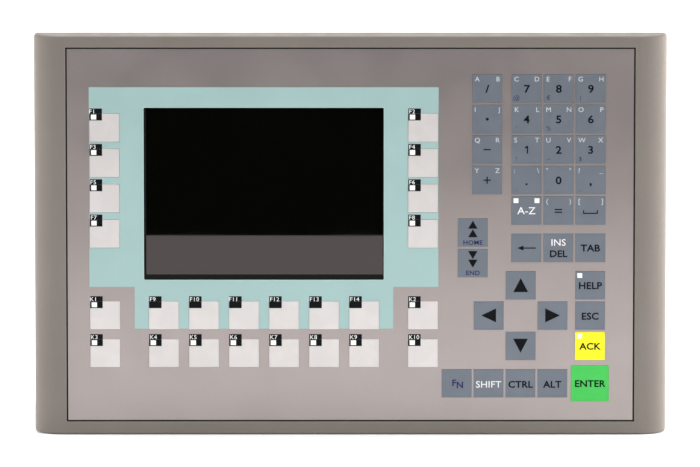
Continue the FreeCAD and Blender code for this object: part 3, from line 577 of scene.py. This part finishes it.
def drawn_marks():
    """Signs that are plain bars, the star, and the figure 1 with its flag."""
    long, pen = 1.8 * MM, 0.30 * MM
    level = rectangle(-long, long, -pen, pen)
    upright = rectangle(-pen, pen, -long, long)
    legend("key_minus_main", "ink", "key_minus", [draw(KEYS["key_minus"], level)])
    face = KEYS["key_plus"]
    stubs = [rectangle(-pen, pen, pen, long), rectangle(-pen, pen, -long, -pen)]
    legend("key_plus_main", "ink", "key_plus", [draw(face, level), *[draw(face, stub) for stub in stubs]])
    face = KEYS["key_equals"]
    pair = [draw(face, [(x, z + lift) for x, z in level]) for lift in (-0.85 * MM, 0.55 * MM)]
    legend("key_equals_main", "ink", "key_equals", pair)
    tips = [(1.05 * MM if n % 2 else 0.55 * MM, math.tau * n / 12) for n in range(12)]
    star = [(r * math.cos(angle), r * math.sin(angle)) for r, angle in tips]
    legend("key_multiply_main", "ink", "key_multiply", [draw(KEYS["key_multiply"], star)])
    stem, half = 0.30 * MM, digit / 2
    flag = [(0.4 * MM - stem, half - 1.15 * MM), (0.4 * MM - stem, half - 0.15 * MM),
            (-0.95 * MM, half - 0.75 * MM), (-0.95 * MM, half - 1.35 * MM)]
    one = [rectangle(0.4 * MM - stem, 0.4 * MM + stem, -half, half), flag]
    legend("key_1_main", "ink", "key_1", [draw(KEYS["key_1"], part) for part in one])


def space_key():
    face = KEYS["key_space"]
    half, drop, pen = 3.6 * MM, 1.9 * MM, 0.55 * MM
    z = -1.7 * MM
    bars = [rectangle(-half, half, z, z + pen), rectangle(-half, -half + pen, z + pen, z + drop),
            rectangle(half - pen, half, z + pen, z + drop)]
    legend("key_space_main", "ink", "key_space", [draw(face, bar) for bar in bars])
    corner_letters("key_space", "[", "]")


def pointer_keys():
    size, lift = 7.2 * MM, 0.2 * MM
    for name, turn in (("key_up", 0), ("key_left", 1), ("key_down", 2), ("key_right", 3)):
        legend(f"{name}_pointer", "ink", name, [draw(KEYS[name], triangle(size, size, dz=lift, turn=turn))])
    wide, tall, step = 4.6 * MM, 4.1 * MM, 4.4 * MM
    for name, turn, text in (("key_home", 0, "HOME"), ("key_end", 2, "END")):
        face = KEYS[name]
        top = 4.2 * MM
        pair = [draw(face, triangle(wide, tall, dz=top - n * step, turn=turn)) for n in (0, 1)]
        legend(f"{name}_pointers", "ink", name, pair)
        legend(f"{name}_word", "blue", name, [write(face, text, 0.0, -4.9 * MM, 2.4 * MM, 0.06, 1.05)])
    face = KEYS["key_backspace"]
    shaft = rectangle(-1.6 * MM, 4.6 * MM, -0.3 * MM, 0.3 * MM)
    head = triangle(2.5 * MM, 3.0 * MM, dx=-2.9 * MM, turn=1)
    legend("key_backspace_arrow", "ink", "key_backspace", [draw(face, shaft), draw(face, head)])


def word_keys():
    table = [
        ("key_letters", "A-Z", "white", 0.1, 3.8), ("key_insert", "INS", "white", 3.0, 3.5),
        ("key_insert", "DEL", "ink", -2.8, 3.5), ("key_tab", "TAB", "ink", 0.1, 3.6),
        ("key_help", "HELP", "ink", 0.0, 3.6), ("key_escape", "ESC", "ink", -0.1, 3.6),
        ("key_acknowledge", "ACK", "ink", 0.0, 3.5), ("key_enter", "ENTER", "ink", 0.0, 3.5),
        ("key_shift", "SHIFT", "white", -0.4, 3.5), ("key_control", "CTRL", "ink", -0.4, 3.5),
        ("key_alternate", "ALT", "ink", -0.4, 3.5),
    ]
    for name, text, finish, up, height in table:
        weight = slim if finish == "white" else bold
        parts = [write(KEYS[name], text, 0.0, up * MM, height * MM, weight, 1.02, 1.03)]
        legend(f"{name}_{text.lower().replace('-', '_')}", finish, name, parts)
    face = KEYS["key_function"]
    parts = [write(face, "F", -1.3 * MM, 0.4 * MM, word * 0.95, bold),
             write(face, "N", 1.6 * MM, -0.7 * MM, word * 0.95, bold)]
    legend("key_function_fn", "blue", "key_function", parts)


def corner_lamps():
    for name, sides in (("key_letters", (-1, 1)), ("key_help", (-1,)), ("key_acknowledge", (-1,))):
        face = KEYS[name]
        reach = face.half - corner_lamp_inset - corner_lamp / 2
        half = corner_lamp / 2
        parts = [draw(face, rectangle(s * reach - half, s * reach + half, reach - half, reach + half)) for s in sides]
        add(f"lamp_{name}", *joined(parts), "lamp", f"{name}_body", "key_plastic")


def soft_key_tags():
    """The black tag of each function key lies partly on the key and partly on the foil above it."""
    rows = [("f", F_FACES, 8), ("k", K_FACES, len(K_FACES))]
    for letter, faces, with_lamp in rows:
        on_key, on_foil, names, lamps = [], [], [], []
        for number, face in enumerate(faces, 1):
            left, top = face.x - face.half, face.z + face.half
            bottom = top + tag_above - tag_size
            y = face.y - legend_lift
            on_key.append(prism(rectangle(left, left + tag_size, bottom, top),
                                y - legend_thickness, y + legend_thickness))
            y_foil = foil_y - print_thickness - legend_lift
            on_foil.append(prism(rectangle(left, left + tag_size, top, top + tag_above),
                                 y_foil - legend_thickness, foil_y + legend_thickness))
            label = f"{letter.upper()}{number}"
            text = text_mesh(label, name_height, 0.0, 1.08)
            width = max(x for x, _, _ in text[0])
            names.append(moved(text, left + name_inset + width, y_foil - 2 * legend_thickness,
                               top + tag_above - name_inset - name_height / 2))
            if number <= with_lamp:
                x0, z1 = left + lamp_from_left, top + tag_above - lamp_from_top
                y_lamp = y - 2 * legend_thickness
                lamps.append(prism(rectangle(x0, x0 + lamp_width, z1 - lamp_height, z1), y_lamp - legend_thickness,
                                   y_lamp + legend_thickness))
        body = f"{letter}_keys_body"
        add(f"tags_{letter}_on_keys", *joined(on_key), "ink", body, "key_clear")
        add(f"tags_{letter}_on_foil", *joined(on_foil), "ink", "panel", "overlay_foil")
        add(f"names_{letter}", *joined(names), "white", "panel", "overlay_foil")
        add(f"lamps_{letter}", *joined(lamps), "lamp", body, "key_clear")


# ---- prints on the foil, and the display's mask ---------------------------------------------------------

def turquoise_area():
    """Turquoise print round the display, open where keys and display are."""
    pane_low, pane_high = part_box("display_window")
    left, right = F_FACES[0], F_FACES[1]
    reach, above, below, beside_row = 0.3 * MM, 8.7 * MM, 1.9 * MM, 14.2 * MM
    x0, x1 = left.x - left.half - reach, right.x + right.half + reach
    top = pane_high.z + above
    middle = pane_low.z - below
    row = F_FACES[8:]
    low_x0, low_x1 = row[0].x - beside_row, row[-1].x + beside_row
    bottom = row[0].z - row[0].half + reach
    blocks = [(x0, x1, middle, top), (low_x0, low_x1, bottom, middle)]
    gap = 0.18 * MM
    holes = [(f.x - f.half - gap, f.x + f.half + gap, f.z - f.half - gap, f.z + f.half + gap) for f in F_FACES]
    holes.append((pane_low.x + pane_border, pane_high.x - pane_border,
                  pane_low.z + pane_border, pane_high.z - pane_border))
    xs = sorted({v for b in blocks + holes for v in b[:2]})
    zs = sorted({v for b in blocks + holes for v in b[2:]})

    def inside(rectangles, x, z):
        return any(a < x < b and c < z < d for a, b, c, d in rectangles)

    cells = {}
    for i in range(len(xs) - 1):
        for j in range(len(zs) - 1):
            x, z = (xs[i] + xs[i + 1]) / 2, (zs[j] + zs[j + 1]) / 2
            if inside(blocks, x, z) and not inside(holes, x, z):
                cells[i, j] = True
    index, vertices, faces = {}, [], []

    def corner(i, j, back):
        key = (i, j, back)
        if key not in index:
            index[key] = len(vertices)
            vertices.append((xs[i], foil_y if back else foil_y - print_thickness, zs[j]))
        return index[key]

    for i, j in cells:
        ring = [(i, j), (i + 1, j), (i + 1, j + 1), (i, j + 1)]
        faces.append([corner(*p, False) for p in ring])
        faces.append([corner(*p, True) for p in reversed(ring)])
        beside = [(i, j - 1), (i + 1, j), (i, j + 1), (i - 1, j)]
        for n, other in enumerate(beside):
            if other not in cells:
                a, b = ring[n], ring[(n + 1) % 4]
                faces.append([corner(*b, False), corner(*a, False), corner(*a, True), corner(*b, True)])
    add("turquoise_area", vertices, faces, "turquoise", "panel", "overlay_foil")


def display_mask():
    """Dark border printed on the pane, wider along the bottom and left, and the pale line round the opening."""
    low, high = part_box("display_window")
    x0, x1 = low.x + pane_border, high.x - pane_border
    z0, z1 = low.z + pane_border, high.z - pane_border
    y = low.y - 2 * print_thickness
    inner = (x0 + mask_left, x1 - mask_other, z0 + mask_bottom, z1 - mask_other)
    bars = [rectangle(x0, x1, z0, inner[2]), rectangle(x0, x1, inner[3], z1),
            rectangle(x0, inner[0], inner[2], inner[3]), rectangle(inner[1], x1, inner[2], inner[3])]
    add("display_mask", *joined([prism(bar, y, low.y) for bar in bars]), "mask", "panel", "window")
    pen = 0.2 * MM
    y_line = foil_y - print_thickness - legend_lift
    lines = [rectangle(x0 - pen, x1 + pen, z0 - pen, z0), rectangle(x0 - pen, x1 + pen, z1, z1 + pen),
             rectangle(x0 - pen, x0, z0, z1), rectangle(x1, x1 + pen, z0, z1)]
    add("display_edge_line", *joined([prism(line, y_line, foil_y) for line in lines]), "pale_line", "panel",
        "overlay_foil")


def groove_shade_bead():
    """Dark fill in the groove round the foil, lower than the foil's face: painted shade where the groove is in
    shadow.
    """
    inner, outer = 0.08 * MM, 0.70 * MM
    y = foil_y + 0.12 * MM
    x0, x1, z0, z1 = low_foil.x, high_foil.x, low_foil.z, high_foil.z
    bars = [rectangle(x0 - outer, x1 + outer, z0 - outer, z0 - inner),
            rectangle(x0 - outer, x1 + outer, z1 + inner, z1 + outer),
            rectangle(x0 - outer, x0 - inner, z0 - inner, z1 + inner),
            rectangle(x1 + inner, x1 + outer, z0 - inner, z1 + inner)]
    # dark fill standing in for the groove's shadow
    add("groove_shade_bead", *joined([prism(bar, y, high_foil.y) for bar in bars]), "sealant", "panel", "seal_rubber")


# ---- rear: rating label and port captions ---------------------------------------------------------------

def rear_writing(text, x, y, z, height, weight=0.0):
    """Text that is read from behind."""
    vertices, faces = text_mesh(text, height * MM, weight)
    return moved(([(-a, -b, c) for a, b, c in vertices], faces), x * MM, y, z * MM)


def rating_sheet():
    """The label in the recess of the rear face: a sheet, its frame lines and generic ratings."""
    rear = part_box("rear_housing")[1].y
    recess, sheet_below_rear = 0.4 * MM, 0.2 * MM
    x, z, half_x, half_z = -20.0, -46.0, 47.5, 25.5
    floor_y, face_y = rear - recess, rear - sheet_below_rear
    sheet = [(x - half_x) * MM, (x + half_x) * MM, (z - half_z) * MM, (z + half_z) * MM]
    add("rating_label", *prism(rectangle(*sheet), floor_y, face_y), "rating", "panel", "housing_steel")
    ink_y = face_y + 0.01 * MM
    pen, margin = 0.35, 2.5
    rows = [z + half_z - margin, z + 13.0, z - 11.0, z - half_z + margin]
    lines = [rectangle((x - half_x + margin) * MM, (x + half_x - margin) * MM,
                       (row - pen / 2) * MM, (row + pen / 2) * MM)
             for row in rows]
    add("rating_lines", *joined([prism(line, face_y - legend_thickness, ink_y) for line in lines]), "ink",
        "panel", "housing_steel")
    words = [("OPERATOR PANEL", 0.0, 17.7, 4.2, 0.06), ("INPUT  24 V DC", 20.0, 6.6, 3.0, 0.0),
             ("MAX  15 W", 26.0, 0.6, 3.0, 0.0), ("PROTECTION CLASS III", 14.6, -5.6, 2.6, 0.0),
             ("SERIAL 000000", 22.0, -17.5, 3.0, 0.0)]
    add("rating_words", *joined([rear_writing(text, x + dx, ink_y, z + dz, height, weight)
                                 for text, dx, dz, height, weight in words]), "ink", "panel", "housing_steel")
    bars, left = [], -38.0
    for n in range(26):
        width = (0.5, 0.9, 0.4, 1.3, 0.6)[n * 7 % 5]
        bars.append(rectangle((x + left) * MM, (x + left + width) * MM, (z - 20.3) * MM, (z - 14.0) * MM))
        left += width + (0.6, 0.4, 0.9)[n % 3]
    add("rating_bars", *joined([prism(bar, face_y - legend_thickness, ink_y) for bar in bars]), "ink",
        "panel", "housing_steel")


def port_captions():
    """Names of the ports along the foot of the rear face."""
    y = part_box("rear_housing")[1].y + legend_thickness
    foot, height, weight = -79.0, 3.0, 0.04
    table = [("power_terminal", "24 V DC"), ("serial_port", "SERIAL"), ("ethernet_port", "LAN"), ("usb_port", "USB")]
    parts = []
    for node_name, text in table:
        low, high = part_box(node_name)
        parts.append(rear_writing(text, (low.x + high.x) / 2 / MM, y, foot, height, weight))
    low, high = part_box("card_slot")
    parts.append(rear_writing("CARD", 122.0, y, (low.z + high.z) / 2 / MM, height, weight))
    earth_x = -124.0
    parts.append(rear_writing("PE", earth_x, y, foot, height, weight))
    add("port_captions", *joined(parts), "ink", "panel", "housing_steel")


# ---- floor, light, camera -------------------------------------------------------------------------------

def stage_material(name, colour, specular):
    material = bpy.data.materials.new(name)
    material.use_nodes = True
    bsdf = material.node_tree.nodes["Principled BSDF"]
    bsdf.inputs["Base Color"].default_value = (*colour, 1.0)
    bsdf.inputs["Roughness"].default_value = 1.0
    bsdf.inputs["Specular IOR Level"].default_value = specular
    return material


def stage_plane(name, x0, x1, y0, y1, z, material):
    mesh = bpy.data.meshes.new(name)
    mesh.from_pydata([(x0, y0, z), (x1, y0, z), (x1, y1, z), (x0, y1, z)], [], [(0, 1, 2, 3)])
    mesh.materials.append(material)
    plane = bpy.data.objects.new(name, mesh)
    bpy.context.scene.collection.objects.link(plane)
    plane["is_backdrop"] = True
    return plane


def floor():
    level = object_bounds()[0][2] - floor_drop
    stage_plane("floor", -30, 30, -30, 30, level, stage_material("floor_white", (0.93, 0.93, 0.93), 0.1))
    card_place = (-card_reach, card_reach, -8, -bright_floor, level + 2 * MM)
    card = stage_plane("dark_card", *card_place, stage_material("card_black", (0, 0, 0), 0.0))
    card.visible_camera = False
    card.visible_diffuse = False
    card.visible_shadow = False
    card.visible_transmission = False


def area_light(name, place, aim, width, height, power, mirrored=True):
    lamp = bpy.data.lights.new(name, "AREA")
    lamp.shape = "RECTANGLE"
    lamp.size = width
    lamp.size_y = height
    lamp.energy = power
    light = bpy.data.objects.new(name, lamp)
    light.location = place
    light.rotation_euler = (Vector(aim) - Vector(place)).to_track_quat("-Z", "Y").to_euler()
    light.visible_camera = False
    light.visible_glossy = mirrored
    bpy.context.scene.collection.objects.link(light)
    return light


def lights():
    world = bpy.data.worlds.new("studio")
    bpy.context.scene.world = world
    world.use_nodes = True
    background = world.node_tree.nodes["Background"]
    background.inputs["Color"].default_value = (1.0, 0.99, 0.98, 1.0)
    background.inputs["Strength"].default_value = 0.28
    area_light("overhead", (0.0, -0.15, 2.0), (0, 0, 0), 2.4, 2.0, 50)
    area_light("side_left", (-2.4, 0.24, 0.44), (0, 0, 0), 1.44, 1.06, 86, mirrored=False)
    area_light("side_right", (2.4, 0.24, 0.44), (0, 0, 0), 1.44, 1.06, 176, mirrored=False)
    area_light("behind", (0.0, 2.2, 0.9), (0, 0, 0.05), 2.6, 0.8, 14)


def camera():
    data = bpy.data.cameras.new("camera")
    data.sensor_width = sensor_width
    data.lens = sensor_width * camera_distance / view_width
    data.clip_end = 100
    holder = bpy.data.objects.new("camera", data)
    back = Vector((0, -math.cos(camera_elevation), math.sin(camera_elevation)))
    up = Vector((0, math.sin(camera_elevation), math.cos(camera_elevation)))
    target = Vector((view_centre_x, 0, 0)) + up * view_centre_up
    holder.location = target + back * camera_distance
    holder.rotation_euler = (-back).to_track_quat("-Z", "Y").to_euler()
    bpy.context.scene.collection.objects.link(holder)
    bpy.context.scene.camera = holder


bpy.context.scene.view_settings.view_transform = "Standard"
number_keys()
drawn_marks()
space_key()
pointer_keys()
word_keys()
corner_lamps()
soft_key_tags()
turquoise_area()
display_mask()
groove_shade_bead()
rating_sheet()
port_captions()
floor()
lights()
camera()
